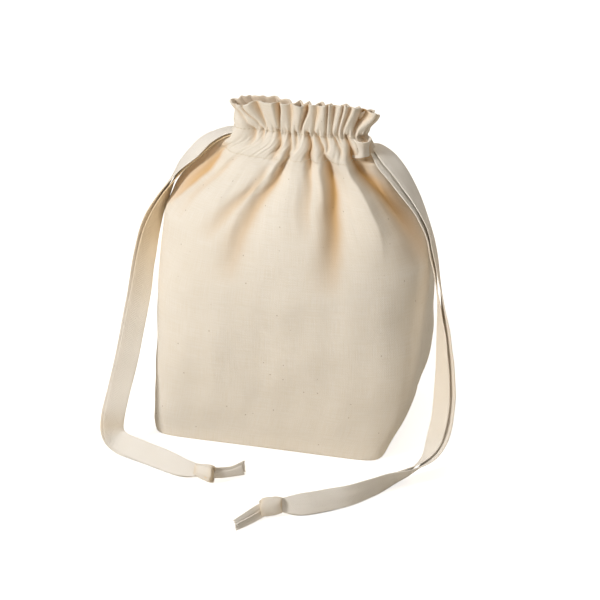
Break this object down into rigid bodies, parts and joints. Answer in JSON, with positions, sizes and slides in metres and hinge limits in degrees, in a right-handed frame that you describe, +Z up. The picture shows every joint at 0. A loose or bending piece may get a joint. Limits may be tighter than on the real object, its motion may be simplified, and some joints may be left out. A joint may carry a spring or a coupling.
{
  "type": "drawstring pouch",
  "caption": "Unbleached canvas kinchaku pouch with a flat rectangular base, gathered by flat cotton drawstrings that leave the casing at both sides and end in knots.",
  "frame": {"origin": "middle of the rectangular base, on the surface the pouch stands on", "axes": "+Z up from the base to the mouth, +X towards the right side of the pouch, the front faces -Y"},
  "size_m": [0.2483, 0.2156, 0.2482],
  "materials": {
    "canvas": "unbleached plain-weave cotton canvas",
    "tape": "unbleached cotton twill tape"
  },
  "bodies": {
    "root": {"pouch_body": "canvas", "left_channel_tape": "tape", "right_channel_tape": "tape", "left_front_strand": "tape", "left_back_strand": "tape", "right_front_strand": "tape", "right_back_strand": "tape", "left_knot": "tape", "right_knot": "tape"}
  },
  "joints": []
}
